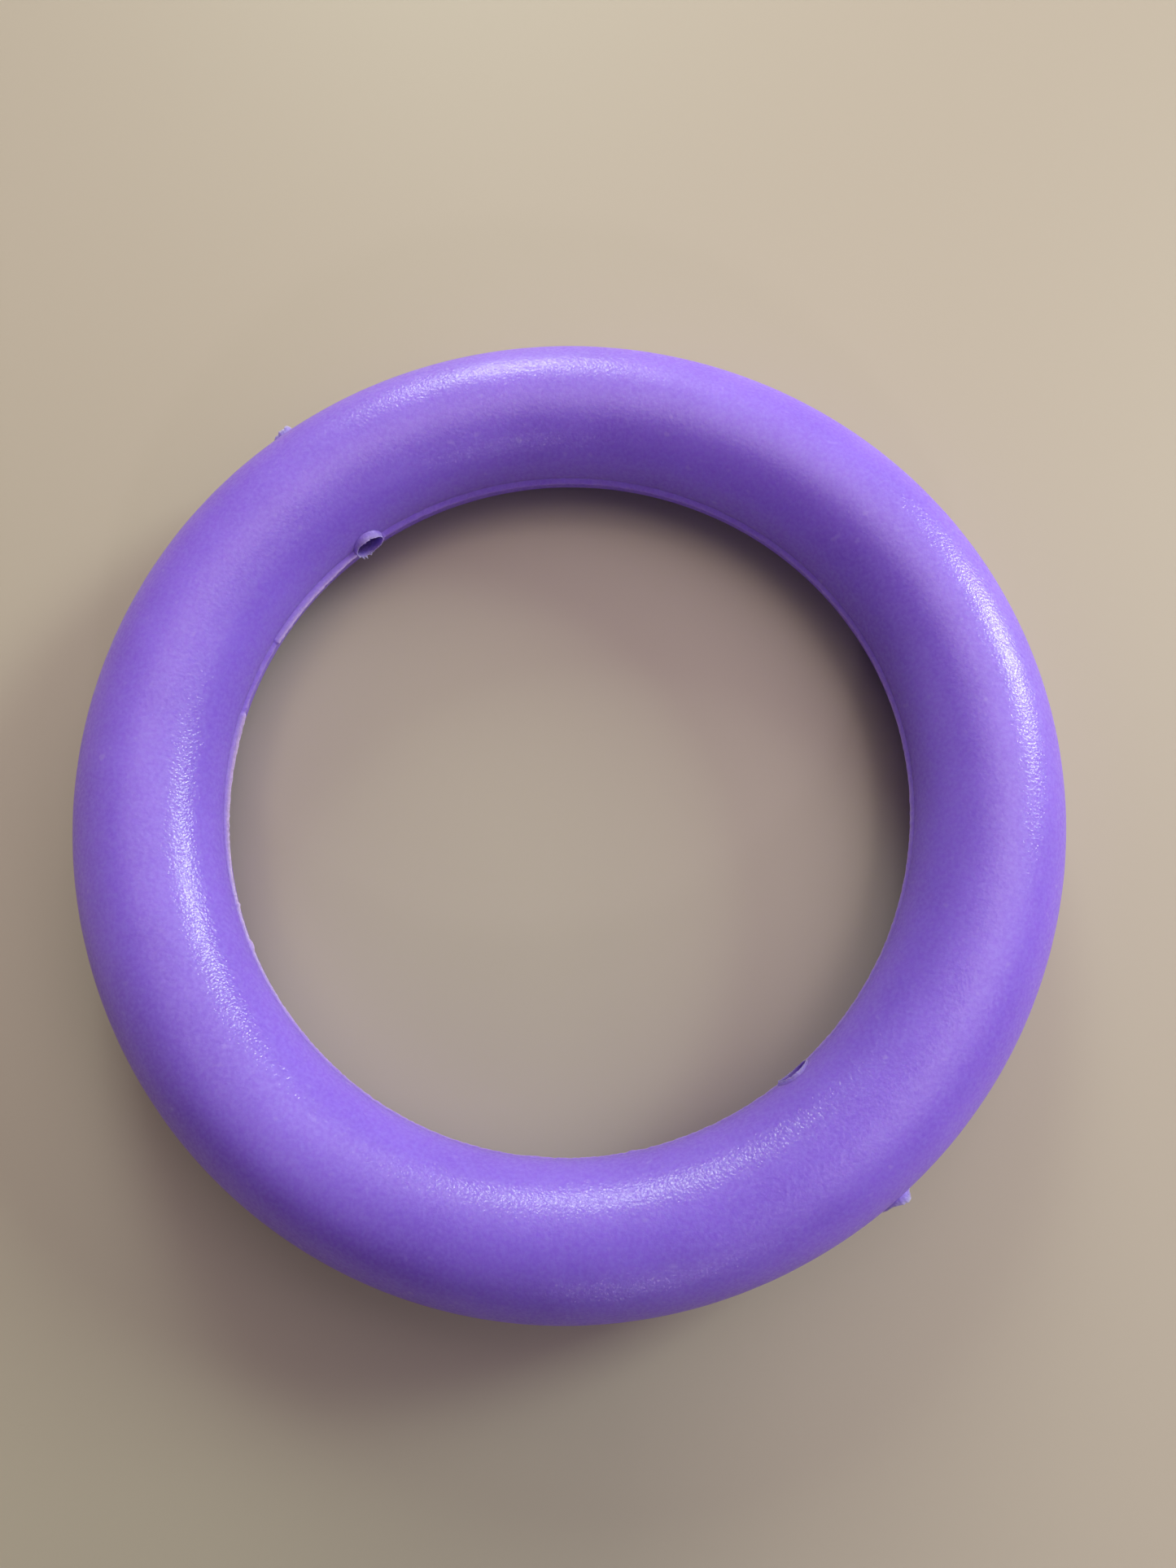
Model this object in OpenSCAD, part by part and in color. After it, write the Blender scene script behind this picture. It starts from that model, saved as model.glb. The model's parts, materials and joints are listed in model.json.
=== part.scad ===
// Hollow round-section ring for juggling and tossing, moulded in soft polyethylene.
// Two half shells meet on the parting plane z = 0. A thin fin of flash stands out of that joint
// round the inner and the outer equator, and one straight hole is drilled right across the ring, a
// little beside its centre and through the tube on both sides, with a burr wherever it breaks a wall.
// The origin is the ring's centre on the parting plane, and +Z is the ring's axis.

/* [Ring] */
// Outer diameter over the tube
ring_d = 80; // [60:1:120]
// Diameter of the round tube
tube_d = 11.8; // [9:0.1:18]
// Wall thickness of the hollow tube
wall_t = 1.2; // [0.8:0.1:2]

/* [Flash on the joint] */
// Thickness of the fin, across the parting plane
flash_t = 0.3; // [0.2:0.05:0.6]
// How far the fin stands in from the inner wall
inner_flash_h = 0.3; // [0.1:0.05:0.8]
// How far the trimmed fin stands out from the outer wall
outer_flash_h = 0.1; // [0.05:0.05:0.5]

/* [Drilled hole] */
// Diameter of the hole drilled across the ring
hole_d = 2.6; // [2:0.1:4]
// Direction of the hole, in degrees from +X towards +Y
hole_angle = 128.5; // [0:0.1:180]
// How far the hole passes beside the ring's centre
hole_offset = 0.2; // [0:0.05:0.5]

/* [Burrs round the hole] */
// Wall thickness of a burr
burr_t = 0.35; // [0.2:0.05:0.6]
// How far a burr stands in from the inner wall
inner_burr_h = 0.5; // [0.3:0.05:1]
// How far a burr stands out from the outer wall
outer_burr_h = 0.6; // [0.2:0.05:1]

/* [Hidden] */

tube_r = tube_d / 2;
bore_r = tube_r - wall_t;            // radius of the tube's hollow
outer_r = ring_d / 2;                // outer wall at the equator
centre_r = outer_r - tube_r;         // radius of the circle that the tube follows
inner_r = centre_r - tube_r;         // inner wall at the equator
hole_r = hole_d / 2;
burr_r = hole_r + burr_t;
side_a = 1;                          // where the hole leaves the ring in its own direction
side_b = -1;                         // and where it leaves it the opposite way
spare = 1;                           // how far a cutting shape passes beyond what it cuts
sink = 1;                            // how deep fins and burrs start in the tube, before it is cut away
drill_l = 2 * (outer_r + outer_burr_h + spare);
round_fn = 180;
small_fn = 48;

purple = [0.42, 0.24, 0.72];
pale_purple = [0.74, 0.66, 0.88];

// The solid torus that the tube's outside follows
module tube_form() {
    rotate_extrude($fn = round_fn)
        translate([centre_r, 0])
            circle(r = tube_r, $fn = round_fn);
}

// Turns a shape that stands along Z so that it lies along the drilled hole
module along_hole() {
    rotate([0, 0, hole_angle])
        rotate([0, 90, 0])
            translate([0, -hole_offset, 0])
                children();
}

// A straight rod of radius r across the whole ring, along the drilled hole
module drill(r) {
    along_hole()
        cylinder(r = r, h = drill_l, center = true, $fn = small_fn);
}

// Section of one half of the hollow tube: side is 1 above the parting plane and -1 below it
module half_section(side) {
    half_h = tube_r + spare;
    intersection() {
        difference() {
            circle(r = tube_r, $fn = round_fn);
            circle(r = bore_r, $fn = round_fn);
        }
        translate([-half_h, side > 0 ? 0 : -half_h])
            square([2 * half_h, half_h]);
    }
}

module half_shell(side) {
    difference() {
        rotate_extrude($fn = round_fn)
            translate([centre_r, 0])
                half_section(side);
        drill(hole_r);
    }
}

// A flat ring between two radii, centred on the parting plane, less the tube and the burrs
module fin(from_r, to_r) {
    difference() {
        rotate_extrude($fn = round_fn)
            translate([from_r, -flash_t / 2])
                square([to_r - from_r, flash_t]);
        tube_form();
        drill(burr_r);
    }
}

// A collar round the hole between two distances from the centre, on one side of the ring
module burr(side, from_r, to_r) {
    difference() {
        along_hole()
            translate([0, 0, side > 0 ? from_r : -to_r])
                cylinder(r = burr_r, h = to_r - from_r, $fn = small_fn);
        tube_form();
        drill(hole_r);
    }
}

module upper_shell() {
    color(purple) half_shell(1);
}

module lower_shell() {
    color(purple) half_shell(-1);
}

module inner_flash() {
    color(pale_purple) fin(inner_r - inner_flash_h, inner_r + sink);
}

module outer_flash() {
    color(pale_purple) fin(outer_r - sink, outer_r + outer_flash_h);
}

module inner_burr(side) {
    color(pale_purple) burr(side, inner_r - inner_burr_h, inner_r + sink);
}

module outer_burr(side) {
    color(pale_purple) burr(side, outer_r - sink, outer_r + outer_burr_h);
}

upper_shell();
lower_shell();
inner_flash();
outer_flash();
inner_burr(side_a);  // inner_burr_a
inner_burr(side_b);  // inner_burr_b
outer_burr(side_a);  // outer_burr_a
outer_burr(side_b);  // outer_burr_b
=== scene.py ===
import json
from math import asin, atan2, cos, degrees, exp, pi, radians, sin, sqrt, tau

import bmesh
import bpy
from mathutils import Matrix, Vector, noise


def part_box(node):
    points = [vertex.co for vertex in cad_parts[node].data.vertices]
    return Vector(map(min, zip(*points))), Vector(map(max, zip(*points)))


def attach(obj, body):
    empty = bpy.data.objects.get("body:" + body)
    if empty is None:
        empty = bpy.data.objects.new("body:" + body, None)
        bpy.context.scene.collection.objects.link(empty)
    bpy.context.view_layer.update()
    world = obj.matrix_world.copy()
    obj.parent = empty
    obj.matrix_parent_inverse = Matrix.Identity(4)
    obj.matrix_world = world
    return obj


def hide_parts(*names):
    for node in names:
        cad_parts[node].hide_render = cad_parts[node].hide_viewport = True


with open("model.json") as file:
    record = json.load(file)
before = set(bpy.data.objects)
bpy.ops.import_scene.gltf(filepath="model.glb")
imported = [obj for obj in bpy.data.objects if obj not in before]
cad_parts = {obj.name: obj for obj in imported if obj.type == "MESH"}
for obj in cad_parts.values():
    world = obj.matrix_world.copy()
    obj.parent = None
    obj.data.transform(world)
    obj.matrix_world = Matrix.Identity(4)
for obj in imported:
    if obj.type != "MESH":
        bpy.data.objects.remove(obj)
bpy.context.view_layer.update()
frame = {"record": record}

# A purple polyethylene ring with a round, hollow section, lying on a pale floor. Its two half
# shells meet on z = 0, a trimmed fin of flash stands out of that joint, and one straight hole is
# drilled right across it, with a torn burr at each of its four ends.
# Azimuth goes round the ring from +X towards +Y. The tube angle goes round the tube's section:
# 0 points outward, 90 degrees up and 180 degrees in towards the ring's centre.

MM = 0.001

# --- sizes, from the CAD model ---
WALL_T = 1.2 * MM                               # wall_t in part.scad
shell_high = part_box("upper_shell")[1]
hole = next(mount for mount in frame["record"]["mounts"] if mount["name"] == "cross_hole")
outer_r = shell_high.x                          # outer wall at the equator
tube_r = shell_high.z
centre_r = outer_r - tube_r                     # the circle that the tube follows
bore_r = tube_r - WALL_T                        # the tube's hollow
hole_r = hole["dims"]["r_mm"] * MM              # the drilled hole
hole_az = atan2(hole["axis"][1], hole["axis"][0])
hole_offset = hole["pos_m"][1] * cos(hole_az) - hole["pos_m"][0] * sin(hole_az)   # from the centre
floor_z = -tube_r

# --- how the real ring departs from a perfect one ---
WOBBLE = 0.09 * MM                              # the ring is very slightly three-cornered
WOBBLE_AZ = radians(20)
SHIFT = 0.09 * MM                               # and its middle is a little off towards SHIFT_AZ
SHIFT_AZ = radians(255)
SWELL = 0.008                                   # its tube is thinnest at THIN_AZ
THIN_AZ = radians(300)
OVAL = 0.006                                    # and a little thicker at OVAL_AZ and opposite it
OVAL_AZ = radians(170)
SKIN_WAVES = ((2.6 * MM, 0.010 * MM), (1.1 * MM, 0.004 * MM))   # (length, height) on the skin


# --- shapes ---
def skin_height(at):
    """How far the moulded skin stands out at a point, in waves longer than its blasted grain."""
    return sum(height * noise.noise(at / length) for length, height in SKIN_WAVES)


def centre_line(az):
    return centre_r + WOBBLE * cos(3 * (az - WOBBLE_AZ)) + SHIFT * cos(az - SHIFT_AZ)


def thickness(az):
    """The tube's thickness at an azimuth, as a share of its nominal one."""
    return 1 - SWELL * cos(az - THIN_AZ) + OVAL * cos(2 * (az - OVAL_AZ))


def ring_point(az, v, r, skin):
    """A point at azimuth az and tube angle v on the tube of radius r, with the skin's waves if skin."""
    r *= thickness(az)
    away = Vector((cos(az) * cos(v), sin(az) * cos(v), sin(v)))
    at = Vector((cos(az), sin(az), 0)) * centre_line(az) + away * r
    return at + away * skin_height(at) if skin else at


AZ_STEPS = 600
TUBE_STEPS = 48                                 # over the half of the tube that one shell covers
PATCH = 7                                       # grid steps from a mouth's middle to its patch's edge
PATCH_RINGS = 5
PATCH_EASE = 1.3                                # above 1, the rings crowd towards the mouth
MOUTH_STEPS = (0, AZ_STEPS // 2)                # grid steps from the hole's azimuth to its two ends
SHARP = radians(35)                             # an edge that turns more than this is shaded sharp


class Wall:
    """One wall of a half shell: a grid over the torus, with a patch round each mouth of the hole."""

    def __init__(self, bm, r, side, skin):
        self.bm, self.r, self.side, self.skin = bm, r, side, skin
        self.grid = {}
        self.rims = {}
        self.rows = {}
        for i in range(AZ_STEPS):
            for j in range(TUBE_STEPS):
                if not self.in_patch(i + 0.5, j + 0.5):
                    self.face([self.vert(i + a, j + b) for a, b in ((0, 0), (1, 0), (1, 1), (0, 1))])
        for mouth in MOUTH_STEPS:
            for outward in (True, False):
                self.patch(mouth, outward)

    def in_patch(self, i, j):
        from_mouth = min(i % (AZ_STEPS / 2), -i % (AZ_STEPS / 2))
        return from_mouth < PATCH and min(j, TUBE_STEPS - j) < PATCH

    def angles(self, i, j):
        return hole_az + i * tau / AZ_STEPS, self.side * j * pi / TUBE_STEPS

    def vert(self, i, j):
        key = (i % AZ_STEPS, j)
        if key not in self.grid:
            az, v = self.angles(*key)
            self.grid[key] = self.bm.verts.new(ring_point(az, v, self.r, self.skin))
        return self.grid[key]

    def face(self, verts):
        self.bm.faces.new(verts)

    def patch(self, mouth, outward):
        """Fills the square left round half a mouth with rings that go from the mouth to its edge."""
        beside = hole_offset if mouth == 0 else -hole_offset
        step = range(PATCH + 1)
        border = [(PATCH, j) for j in step] + [(i, PATCH) for i in range(PATCH - 1, -PATCH, -1)]
        border += [(-PATCH, j) for j in reversed(step)]
        rings = []
        for k, (i, j) in enumerate(border):
            edge = self.vert(mouth + i, j if outward else TUBE_STEPS - j)
            az, v = self.angles(i, j)
            across = (centre_r + self.r * cos(v) * (1 if outward else -1)) * sin(az - hole_az)
            up = self.r * sin(v)
            turn = self.side * pi * k / (len(border) - 1)
            spoke = []
            for ring in range(PATCH_RINGS):
                t = (ring / PATCH_RINGS) ** PATCH_EASE
                y = (beside + hole_r * cos(turn)) * (1 - t) + across * t
                z = hole_r * sin(turn) * (1 - t) + up * t
                spoke.append(self.on_wall(mouth, outward, y, z))
            rings.append([*spoke, edge])
        for one, two in zip(rings, rings[1:]):
            for a in range(PATCH_RINGS):
                self.face([one[a], one[a + 1], two[a + 1], two[a]])
        self.rims[mouth, outward] = [spoke[0] for spoke in rings]
        self.rows[mouth, outward] = (rings[0], rings[-1])

    def on_wall(self, mouth, outward, y, z):
        """A point of the wall at y across the hole and z above the parting plane."""
        v = asin(z / self.r)
        v = v if outward else pi - v
        az = hole_az + mouth * tau / AZ_STEPS + asin(y / (centre_r + self.r * cos(v)))
        return self.bm.verts.new(ring_point(az, v, self.r, self.skin))


def half_shell(name, side):
    """The half of the hollow tube above the parting plane (side 1) or below it (side -1)."""
    bm = bmesh.new()
    outside, inside = Wall(bm, tube_r, side, True), Wall(bm, bore_r, side, False)
    for j in (0, TUBE_STEPS):                   # the land where the two shells meet
        for i in range(AZ_STEPS):
            if not outside.in_patch(i + 0.5, j):
                bm.faces.new([outside.vert(i, j), outside.vert(i + 1, j),
                              inside.vert(i + 1, j), inside.vert(i, j)])
    for end, rim in outside.rims.items():
        for a, b, c, d in zip(rim, rim[1:], inside.rims[end][1:], inside.rims[end]):
            bm.faces.new([a, b, c, d])          # the hole's own wall
        for row, other in zip(outside.rows[end], inside.rows[end]):
            for a, b, c, d in zip(row, row[1:], other[1:], other):
                bm.faces.new([a, b, c, d])      # the land beside the hole
    return make_piece(name, bm)


def make_piece(node, bm):
    """Turns a bmesh into a smooth-shaded piece that stands for a CAD node."""
    bmesh.ops.recalc_face_normals(bm, faces=bm.faces)
    for face in bm.faces:
        face.smooth = True
    for edge in bm.edges:
        edge.smooth = not edge.is_manifold or edge.calc_face_angle() < SHARP
    mesh = bpy.data.meshes.new(node)
    bm.to_mesh(mesh)
    bm.free()
    piece = bpy.data.objects.new(node + "_skin", mesh)
    bpy.context.scene.collection.objects.link(piece)
    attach(piece, "root")
    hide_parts(node)
    return piece


def between(points, x):
    """The height at x on a line through given points (x, height)."""
    for (x0, y0), (x1, y1) in zip(points, points[1:]):
        if x0 <= x <= x1:
            return y0 + (y1 - y0) * (x - x0) / (x1 - x0)
    return 0.0


# Millimetres that the trimmed fin stands out of the wall at an azimuth in degrees.
INNER_FIN = (
    (0, 0.24), (30, 0.24), (58, 0.24), (70, 0.26), (100, 0.26), (124, 0.26), (132, 0.34),
    (136, 0.42), (142, 0.46), (151.8, 0.42), (152.2, 0.20), (154, 0.25), (156, 0.20), (158, 0.27),
    (160, 0.23), (161.5, 0.20), (165.3, 0.24), (166.2, 0.42), (170, 0.46), (180, 0.38),
    (188, 0.30), (196, 0.20), (198.4, 0.20), (198.8, 0.32), (199.8, 0.20), (204.8, 0.18),
    (205.4, 0.28), (206.4, 0.28), (207, 0.17), (225, 0.14), (240, 0.08), (263, 0.06), (265, 0.12),
    (268, 0.06), (279.6, 0.06), (280.6, 0.14), (281.8, 0.06), (306, 0.08), (315, 0.10),
    (335, 0.12), (350, 0.20), (360, 0.24),
)
OUTER_FIN = (
    (0, 0.10), (40, 0.07), (90, 0.12), (91, 0.05), (126, 0.09), (200, 0.12), (240, 0.06),
    (241, 0.14), (300, 0.08), (318, 0.13), (360, 0.10),
)
# How pale the fin is, from 0 to 1, at an azimuth in degrees. Outside it is stretch whitening only.
# Inside it is partly stretch whitening and partly painted light and shade: paler, as painted light,
# where the east window lights the fin, from 132 to 200 degrees, and darker, as painted shade, where the
# north side lies in shade, from 60 to 124.
INNER_PALENESS = (
    (0, 0.33), (30, 0.28), (60, 0.10), (124, 0.10), (132, 0.45), (151.8, 0.55), (152.2, 0.2),
    (165.3, 0.25), (166.2, 0.7), (200, 0.7), (225, 0.4), (260, 0.27), (320, 0.33), (360, 0.33),
)
OUTER_PALENESS = ((0, 0.3), (360, 0.3))
FIN_STEPS = 2400
FIN_LEAST = 0.015 * MM                          # the lowest that a fin is trimmed
FIN_TIP_T = 0.09 * MM                           # thickness of its trimmed edge
FIN_FOOT = 0.15 * MM                            # half its foot's thickness at no height
FIN_FOOT_GAIN = 0.7                             # and how much it grows with the height
FIN_UNDER = 0.01 * MM                           # its foot lies just under the wall's skin
FIN_SUNK = 0.25 * MM                            # and its closing face is sunk deeper
FIN_PLAY = 0.06 * MM                            # gap between the hole and the fin's ends
NICK_LENGTH = 0.35 * MM                         # length of the nicks along its edge
SWAY_LENGTH, SWAY = 3 * MM, 0.03 * MM           # the slow waves of its edge, up and down
DROOP, UPRIGHT = 0.5 * MM, 0.6                  # it hangs where its paleness is under UPRIGHT
SHOULDER, PALE_LOSS = 0.9, 0.7                  # its shoulder, of its height, and less where pale


def fin(name, profile, paleness, inward, ragged):
    """The flash round one equator: a steep ridge along the joint, with a thin trimmed edge.

    ragged is how much its height varies along the nicks, in millimetres."""
    wall_r = centre_r + (-tube_r if inward else tube_r)
    gap = (hole_r + FIN_PLAY) / wall_r
    shift = asin(hole_offset / wall_r)
    mouths = (hole_az + shift, hole_az + pi - shift)
    bm = bmesh.new()
    # this layer holds the fin's paleness: stretch whitening together with painted light and painted
    # shade
    thin = bm.verts.layers.float.new("paleness_and_painted_light")
    loops = []
    for i in range(FIN_STEPS):
        az = i * tau / FIN_STEPS
        if any(abs((az - mouth + pi) % tau - pi) < gap for mouth in mouths):
            loops.append(None)
            continue
        height = between(profile, degrees(az)) * MM
        # pale is partly stretch whitening and partly painted light and painted shade, set by azimuth
        pale = between(paleness, degrees(az))
        edge = Vector((cos(az), sin(az), 0)) * wall_r
        height += ragged * MM * noise.noise(edge / NICK_LENGTH)
        height = max(height, FIN_LEAST)
        lift = SWAY * noise.noise(edge / SWAY_LENGTH) - DROOP * max(UPRIGHT - pale, 0)
        root_z = FIN_FOOT + FIN_FOOT_GAIN * height
        root = -root_z ** 2 / (2 * tube_r) - FIN_UNDER
        shoulder = height * (SHOULDER - PALE_LOSS * pale)
        upper = (                               # (out of the wall, up, share of the paleness)
            (root - FIN_SUNK, root_z, 0), (root, root_z, 0), (shoulder, FIN_TIP_T * 1.2, 0.6),
            ((shoulder + height) / 2, FIN_TIP_T * 0.8, 1), (height, FIN_TIP_T / 2, 1),
        )
        lower = tuple((out, -z, white) for out, z, white in reversed(upper))
        loop = []
        for out, z, white in upper + lower:
            loop.append(bm.verts.new(fin_point(az, inward, out, lift * max(out, 0) / height + z)))
            loop[-1][thin] = pale * white
        loops.append(loop)
    for one, two in zip(loops, loops[1:] + loops[:1]):
        if one and two:
            for a in range(len(one)):
                b = (a + 1) % len(one)
                bm.faces.new([one[a], one[b], two[b], two[a]])
        elif one or two:
            bm.faces.new(one or two)
    return make_piece(name, bm)


def fin_point(az, inward, out, z):
    r = centre_line(az) + (-1 if inward else 1) * (tube_r * thickness(az) + out)
    return (r * cos(az), r * sin(az), z)


LIP_STEPS, LIP_ROWS = 180, 8
LIP_OUT = 0.07                                  # mm from the hole to a lip's edge, before it leans
LIP_T = 0.06 * MM                               # thickness of its edge
LIP_SUNK = 0.05 * MM                            # how deep its foot lies in the wall
LIP_HOLLOW = 1.9                                # above 1, its outside is hollow
LIP_INSIDE = 0.96                               # how high its edge's inner side is, of its height
LOW_SPREAD = 0.6                                # how far a low lip's foot spreads, of its flare
TALL_LIP, MOST_TALL = 0.5 * MM, 1.5             # a lip this high spreads it all, and the most counted
TEAR, TEARS = 0.18, 7                           # how much a lip's height varies, and how finely
WHITE_SPIKE = 0.15                              # a spike this high, in mm, is white
PALE_RISE = 0.8                                 # below 1, a lip goes pale early on the way up
SLEEVE = 0.50 * MM                              # how far a lip reaches into the hole
SLEEVE_PLAY = 0.01 * MM                         # and how far it stands off the hole's wall
SLEEVE_PAINTED_LIGHT, SLEEVE_PALER = 0.1, 0.6            # its paleness inside, painted light that lifts the hole's shade, and what its edge adds with the lip's whitening


def burr(name, end, inward, lips, nibs, flare, lean, whitening, seed):
    """The torn lip thrown up where the hole breaks a wall, at end 0 of the hole or the far end, 1.

    Turns go round the lip: 0 is level, towards larger azimuths, and 90 degrees is up.
    lips are (turn, height) points, and nibs are (turn, width, height) spikes, in degrees and mm.
    flare is how far the lip's foot spreads, lean how far its edge tips away from the hole, and
    whitening, from 0 to 1, how pale the stretched plastic has gone at its edge."""
    towards = -1 if inward else 1
    az = hole_az + end * pi
    beside = -hole_offset if end else hole_offset
    out = Vector((cos(az), sin(az), 0))
    across = Vector((-out.y, out.x, 0))
    up = Vector((0, 0, 1))

    def at(y, z, stand):
        around = centre_line(az) + towards * sqrt((tube_r * thickness(az)) ** 2 - z ** 2)
        y += beside
        return out * (sqrt(around ** 2 - y ** 2) + towards * stand) + across * y + up * z

    bm = bmesh.new()
    # this layer holds the lip's whitening and the painted light inside the hole's sleeve
    thin = bm.verts.layers.float.new("paleness_and_painted_light")
    loops = []
    for k in range(LIP_STEPS):
        turn = k * tau / LIP_STEPS
        height = between(lips, degrees(turn)) * MM
        torn = noise.noise(Vector((cos(turn), sin(turn), seed)) * TEARS)
        height *= 1 + TEAR * torn
        spike = 0.0
        for middle, width, tall in nibs:
            near = (degrees(turn) - middle + 180) % 360 - 180
            spike += tall * exp(-((near / width) ** 2))
        height += spike * MM
        pale = whitening + (1 - whitening) * min(spike / WHITE_SPIKE, 1)
        spread = Vector((cos(turn), sin(turn)))
        edge_r = hole_r + (LIP_OUT + lean * (height / MM)) * MM
        tallness = min(height / TALL_LIP, MOST_TALL)
        foot_r = hole_r + flare * MM * (LOW_SPREAD + (1 - LOW_SPREAD) * tallness)
        loop = []
        for row in range(LIP_ROWS + 1):         # up the outside of the lip
            t = row / LIP_ROWS
            r = edge_r + (foot_r - edge_r) * (1 - t) ** LIP_HOLLOW
            y, z = spread * r
            stand = -LIP_SUNK if row == 0 else height * t
            loop.append(bm.verts.new(at(y, z, stand)))
            loop[-1][thin] = pale * t ** PALE_RISE
        for row in range(LIP_ROWS, -1, -1):     # and down its inside, into the hole
            t = row / LIP_ROWS
            r = (hole_r - SLEEVE_PLAY) + (edge_r - LIP_T - hole_r) * t ** 2
            y, z = spread * r
            stand = height * t * LIP_INSIDE - SLEEVE * (1 - t)
            loop.append(bm.verts.new(at(y, z, stand)))
            # painted light: the sleeve inside the hole is paled to lighten its shade, and its edge also
            # takes the lip's whitening
            loop[-1][thin] = SLEEVE_PAINTED_LIGHT + SLEEVE_PALER * pale * t ** 2
        loops.append(loop)
    for one, two in zip(loops, loops[1:] + loops[:1]):
        for a in range(len(one)):
            b = (a + 1) % len(one)
            bm.faces.new([one[a], one[b], two[b], two[a]])
    return make_piece(name, bm)


# --- materials ---
def new_material(name):
    material = bpy.data.materials.new(name)
    material.use_nodes = True
    nodes = material.node_tree.nodes
    return material, nodes, material.node_tree.links, nodes["Principled BSDF"]


def grain(nodes, links, coordinates, length, detail=2):
    """Noise whose patches are about one length across, in metres."""
    texture = nodes.new("ShaderNodeTexNoise")
    texture.inputs["Scale"].default_value = 1 / length
    texture.inputs["Detail"].default_value = detail
    texture.inputs["Roughness"].default_value = 0.55
    links.new(coordinates.outputs["Object"], texture.inputs["Vector"])
    return texture.outputs["Fac"]


def spread_range(nodes, links, value, low, high, to_low=0, to_high=1):
    """Spreads the range low to high over another, and cuts off what lies beyond."""
    node = nodes.new("ShaderNodeMapRange")
    links.new(value, node.inputs["Value"])
    node.inputs["From Min"].default_value = low
    node.inputs["From Max"].default_value = high
    node.inputs["To Min"].default_value = to_low
    node.inputs["To Max"].default_value = to_high
    return node.outputs["Result"]


def mix_colours(nodes, links, share, one, two):
    """Goes from colour one to two, each a tuple or a node's output, as the share goes from 0 to 1."""
    node = nodes.new("ShaderNodeMix")
    node.data_type = "RGBA"
    links.new(share, node.inputs["Factor"])
    for socket, colour in (("A", one), ("B", two)):
        into = [s for s in node.inputs if s.name == socket and s.type == "RGBA"][0]
        if isinstance(colour, tuple):
            into.default_value = (*colour, 1)
        else:
            links.new(colour, into)
    return [s for s in node.outputs if s.type == "RGBA"][0]


def add_bump(nodes, links, height, distance):
    """Bumps as high as the distance, in metres."""
    node = nodes.new("ShaderNodeBump")
    node.inputs["Distance"].default_value = distance
    links.new(height, node.inputs["Height"])
    return node.outputs["Normal"]


DEEP, FULL = (0.222, 0.100, 0.69), (0.258, 0.128, 0.77)
PALE = (0.36, 0.27, 0.87)
SPECK = (0.46, 0.36, 0.82)
TORN_WHITE = (0.78, 0.76, 0.82)
TORN_SHADE = 0.78                               # how dark the torn plastic's streaks are, of its tint


def purple_body(nodes, links, at):
    """The body colour: cloudy over centimetres, mottled at the blasted grain, with rare pale specks."""
    cloud = spread_range(nodes, links, grain(nodes, links, at, 9 * MM), 0.3, 0.7)
    mottle = spread_range(nodes, links, grain(nodes, links, at, 0.30 * MM, 3), 0.35, 0.68)
    speck = spread_range(nodes, links, grain(nodes, links, at, 0.75 * MM, 0), 0.77, 0.90, 0, 0.30)
    body = mix_colours(nodes, links, cloud, DEEP, FULL)
    body = mix_colours(nodes, links, spread_range(nodes, links, mottle, 0, 1, 0, 0.30), body, PALE)
    body = mix_colours(nodes, links, speck, body, SPECK)
    return body, mottle


def blasted_purple():
    """Purple polyethylene from a sand-blasted mould: semi-matt, finely grained, a little cloudy."""
    material, nodes, links, surface = new_material("blasted_purple")
    at = nodes.new("ShaderNodeTexCoord")
    body, mottle = purple_body(nodes, links, at)
    links.new(body, surface.inputs["Base Color"])
    links.new(spread_range(nodes, links, mottle, 0, 1, 0.55, 0.45), surface.inputs["Roughness"])
    soft = add_bump(nodes, links, grain(nodes, links, at, 0.40 * MM), 0.012 * MM)
    links.new(soft, surface.inputs["Normal"])
    sharp = add_bump(nodes, links, grain(nodes, links, at, 0.22 * MM, 1), 0.058 * MM)
    links.new(sharp, surface.inputs["Coat Normal"])
    surface.inputs["Coat Weight"].default_value = 0.21
    surface.inputs["Coat Roughness"].default_value = 0.24
    surface.inputs["Coat IOR"].default_value = 2.4
    surface.inputs["IOR"].default_value = 1.4
    surface.inputs["Specular IOR Level"].default_value = 0.5
    surface.inputs["Subsurface Weight"].default_value = 0.6
    surface.inputs["Subsurface Scale"].default_value = 1.0 * MM
    surface.inputs["Subsurface Radius"].default_value = (1.0, 0.45, 1.2)
    return material


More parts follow.
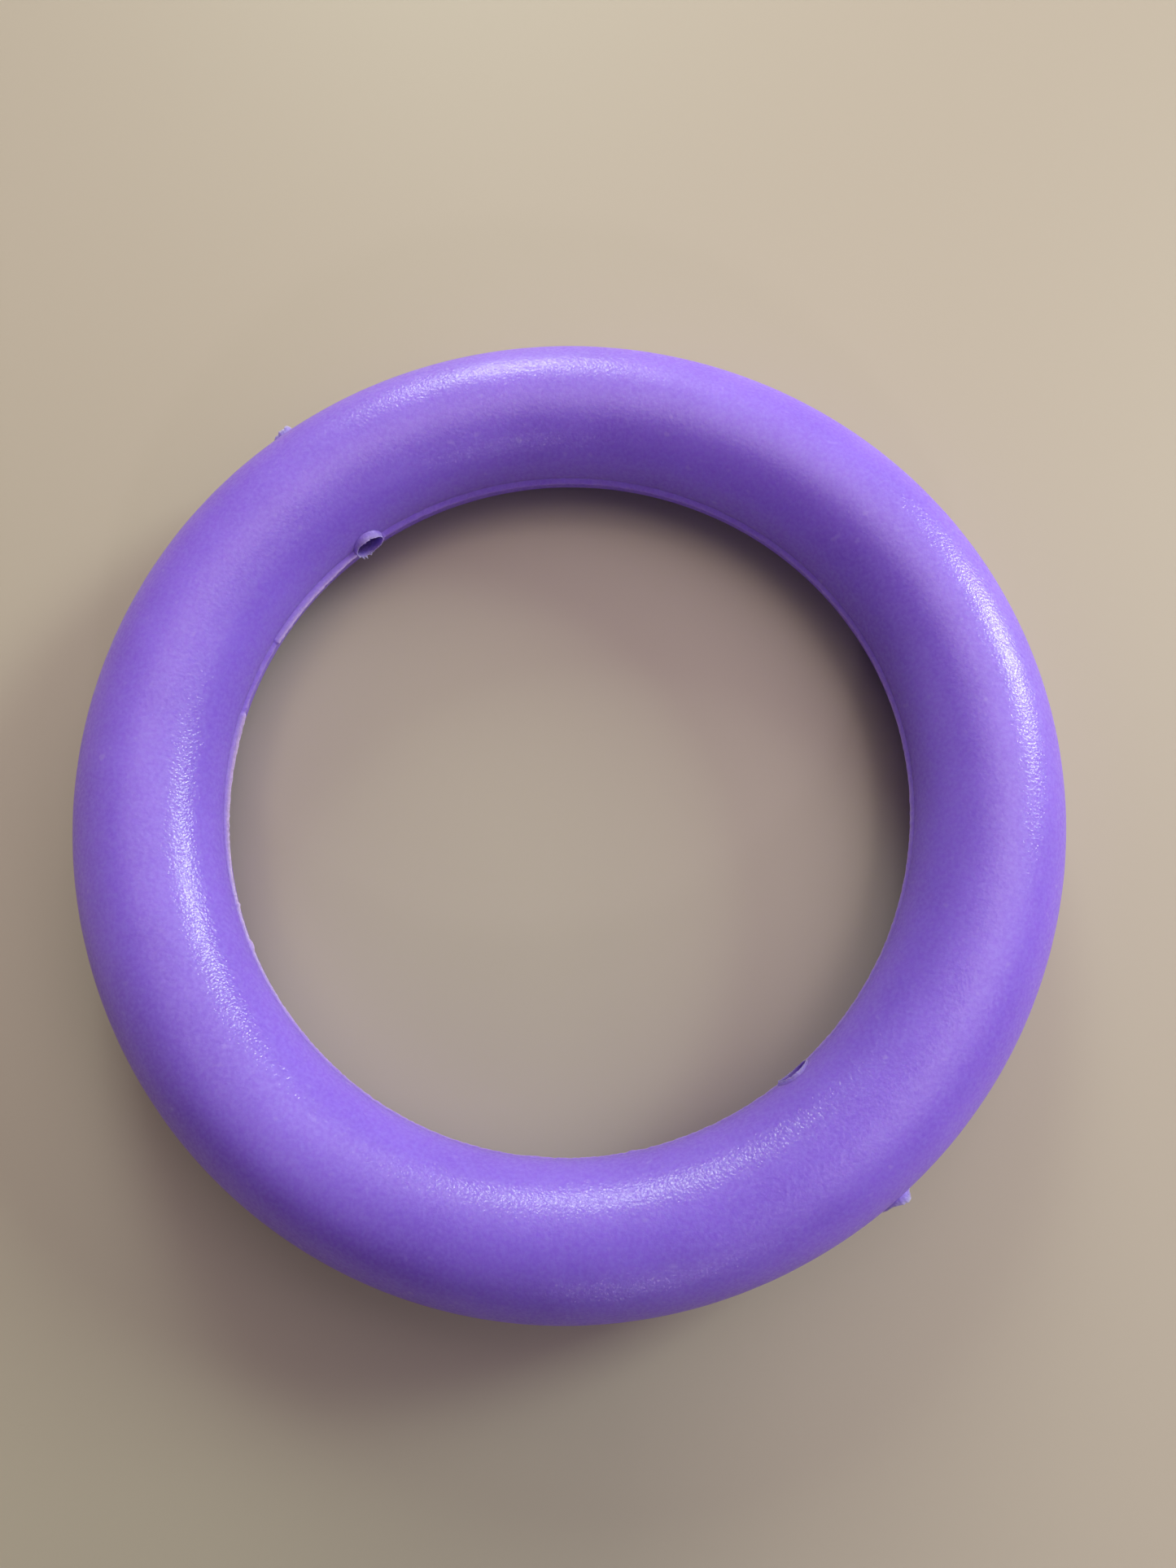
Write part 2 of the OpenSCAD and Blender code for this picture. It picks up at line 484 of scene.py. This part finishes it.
def torn_edge(name, tint, length):
    """Thin stretched polyethylene: it pales from the body to the tint as its paleness rises, and at its
    highest paleness it is white. That paleness is partly stretch whitening and partly painted light:
    painted light and painted shade along the fin, and painted light inside the hole's sleeve.

    length is how long its streaks are."""
    material, nodes, links, surface = new_material(name)
    at = nodes.new("ShaderNodeTexCoord")
    body, _ = purple_body(nodes, links, at)
    streak = spread_range(nodes, links, grain(nodes, links, at, length, 3), 0.35, 0.65)
    pale = mix_colours(nodes, links, streak, tint, tuple(c * TORN_SHADE for c in tint))
    # the paleness read here is partly stretch whitening and partly painted light and painted shade
    thin = nodes.new("ShaderNodeAttribute")
    thin.attribute_name = "paleness_and_painted_light"
    paled = spread_range(nodes, links, thin.outputs["Fac"], 0, 0.7)
    white = spread_range(nodes, links, thin.outputs["Fac"], 0.8, 1)
    colour = mix_colours(nodes, links, paled, body, pale)
    colour = mix_colours(nodes, links, white, colour, TORN_WHITE)
    links.new(colour, surface.inputs["Base Color"])
    roughness = spread_range(nodes, links, streak, 0, 1, 0.45, 0.60)
    links.new(roughness, surface.inputs["Roughness"])
    links.new(add_bump(nodes, links, streak, 0.015 * MM), surface.inputs["Normal"])
    surface.inputs["IOR"].default_value = 1.5
    surface.inputs["Subsurface Weight"].default_value = 0.8
    surface.inputs["Subsurface Scale"].default_value = 0.5 * MM
    surface.inputs["Subsurface Radius"].default_value = (1.0, 0.8, 1.2)
    return material


def plain(name, colour, roughness):
    material, _, _, surface = new_material(name)
    surface.inputs["Base Color"].default_value = (*colour, 1)
    surface.inputs["Roughness"].default_value = roughness
    return material


# --- the object ---
purple = blasted_purple()
pale_fin = torn_edge("trimmed_flash", (0.50, 0.38, 0.70), 0.25 * MM)
pale_lip = torn_edge("torn_burr", (0.34, 0.30, 0.66), 0.20 * MM)

skins = [
    (half_shell("upper_shell", 1), purple),
    (half_shell("lower_shell", -1), purple),
    (fin("inner_flash", INNER_FIN, INNER_PALENESS, True, 0.05), pale_fin),
    (fin("outer_flash", OUTER_FIN, OUTER_PALENESS, False, 0.03), pale_fin),
    (burr("inner_burr_a", 0, True,
          ((0, 0.30), (40, 0.42), (70, 0.58), (95, 0.64), (130, 0.60), (180, 0.44), (230, 0.42),
           (270, 0.44), (320, 0.40), (360, 0.30)),
          ((282, 7, 0.16), (305, 4, 0.34), (322, 4, 0.28), (348, 9, 0.20)),
          0.20, -0.10, 0.50, 1.0), pale_lip),
    (burr("inner_burr_b", 1, True,
          ((0, 0.10), (50, 0.20), (90, 0.25), (140, 0.20), (180, 0.14), (270, 0.14), (360, 0.10)),
          ((200, 12, 0.06),), 0.42, 0.10, 0.60, 4.0), pale_lip),
    (burr("outer_burr_a", 0, False,
          ((0, 0.12), (45, 0.18), (65, 0.60), (95, 0.74), (120, 0.84), (132, 0.30), (220, 0.12),
           (300, 0.15), (360, 0.12)),
          ((260, 9, 0.15),), 0.25, 0.42, 0.75, 7.0), pale_lip),
    (burr("outer_burr_b", 1, False,
          ((0, 0.12), (35, 0.16), (54, 0.55), (75, 0.66), (92, 0.50), (115, 0.22), (200, 0.14),
           (290, 0.12), (360, 0.12)),
          ((235, 8, 0.15),), 0.25, 0.30, 0.75, 11.0), pale_lip),
]
for skin, material in skins:
    skin.data.materials.append(material)


# --- floor, light and camera ---
FLOOR_HALF = 3.0
BOX_AWAY = 1.2                                  # from the ring to each soft box
FLAG_X, FLAG_Y, FLAG_Z = (-0.035, 0.041), (-0.125, 0.005), 0.096
WARM, SKY, GLOW = (0.86, 1.0, 0.81), (0.92, 0.80, 0.90), (1.0, 0.84, 0.66)
SOFT_BOXES = (                                  # (name, azimuth, elevation, size, power, colour)
    ("east_window", 28, 24, 0.32, 9.8, WARM),
    ("north_window", 98, 24, 0.32, 6.0, WARM),
    ("south_lamp", 281, 27, 0.07, 1.0, (0.90, 0.80, 1.0)),   # a faint streak on the far inner wall
    ("low_north", 90, 22, 0.95, 2.4, GLOW),
    ("high_east", 0, 55, 0.95, 5.0, SKY),
    ("high_north_east", 60, 55, 0.95, 3.6, SKY),
    ("high_north_west", 120, 55, 0.95, 1.0, SKY),
    ("low_west", 180, 22, 0.95, 1.4, SKY),
    ("high_south_east", 300, 55, 0.95, 1.8, SKY),
    ("ceiling", 0, 89.9, 0.90, 4.0, GLOW),
)


def make_floor():
    bm = bmesh.new()
    bmesh.ops.create_grid(bm, x_segments=2, y_segments=2, size=FLOOR_HALF)
    mesh = bpy.data.meshes.new("floor")
    bm.to_mesh(mesh)
    bm.free()
    floor = bpy.data.objects.new("floor", mesh)
    floor.location.z = floor_z
    mesh.materials.append(plain("pale_floor", (0.42, 0.365, 0.30), 0.55))
    bpy.context.scene.collection.objects.link(floor)


def soft_box(name, azimuth, elevation, size, power, colour):
    """A square soft box that faces the ring from an azimuth and elevation in degrees."""
    data = bpy.data.lights.new(name, "AREA")
    data.shape = "SQUARE"
    data.size = size
    data.energy = power
    data.color = colour
    light = bpy.data.objects.new(name, data)
    az, el = radians(azimuth), radians(elevation)
    light.location = Vector((cos(az) * cos(el), sin(az) * cos(el), sin(el))) * BOX_AWAY
    light.rotation_mode = "QUATERNION"
    light.rotation_quaternion = light.location.to_track_quat("Z", "Y")
    bpy.context.scene.collection.objects.link(light)


def make_camera():
    """The pinhole camera that was fitted to both outlines of the ring."""
    data = bpy.data.cameras.new("camera")
    data.sensor_width = 36
    data.lens = 24.85
    data.clip_start = 1 * MM
    camera = bpy.data.objects.new("camera", data)
    camera.location = (3.0 * MM, -17.0 * MM, 87.1 * MM)
    camera.rotation_mode = "YXZ"
    camera.rotation_euler = (0.2031, 0.0147, 0)
    bpy.context.scene.collection.objects.link(camera)
    bpy.context.scene.camera = camera


def make_flag():
    """A dark card above the near half, unseen, in the place of the phone that took the photo."""
    bm = bmesh.new()
    (west, east), (south, north) = FLAG_X, FLAG_Y
    corners = ((west, south), (east, south), (east, north), (west, north))
    bm.faces.new([bm.verts.new((x, y, FLAG_Z)) for x, y in corners])
    mesh = bpy.data.meshes.new("flag")
    bm.to_mesh(mesh)
    bm.free()
    mesh.materials.append(plain("black_card", (0.02, 0.02, 0.02), 0.7))
    flag = bpy.data.objects.new("flag", mesh)
    flag.visible_camera = False
    bpy.context.scene.collection.objects.link(flag)


def make_room(backdrop):
    """A grey backdrop where the camera looks past the floor. It gives no light."""
    world = bpy.data.worlds.new("room")
    world.use_nodes = True
    nodes, links = world.node_tree.nodes, world.node_tree.links
    dark = nodes["Background"]
    dark.inputs["Strength"].default_value = 0.0
    seen = nodes.new("ShaderNodeBackground")
    seen.inputs["Color"].default_value = (*backdrop, 1)
    rays = nodes.new("ShaderNodeLightPath")
    mix = nodes.new("ShaderNodeMixShader")
    links.new(rays.outputs["Is Camera Ray"], mix.inputs["Fac"])
    links.new(dark.outputs["Background"], mix.inputs[1])
    links.new(seen.outputs["Background"], mix.inputs[2])
    links.new(mix.outputs["Shader"], nodes["World Output"].inputs["Surface"])
    bpy.context.scene.world = world


make_floor()
make_flag()
for box in SOFT_BOXES:
    soft_box(*box)
make_room((0.62, 0.62, 0.62))
bpy.context.scene.view_settings.view_transform = "Standard"
make_camera()
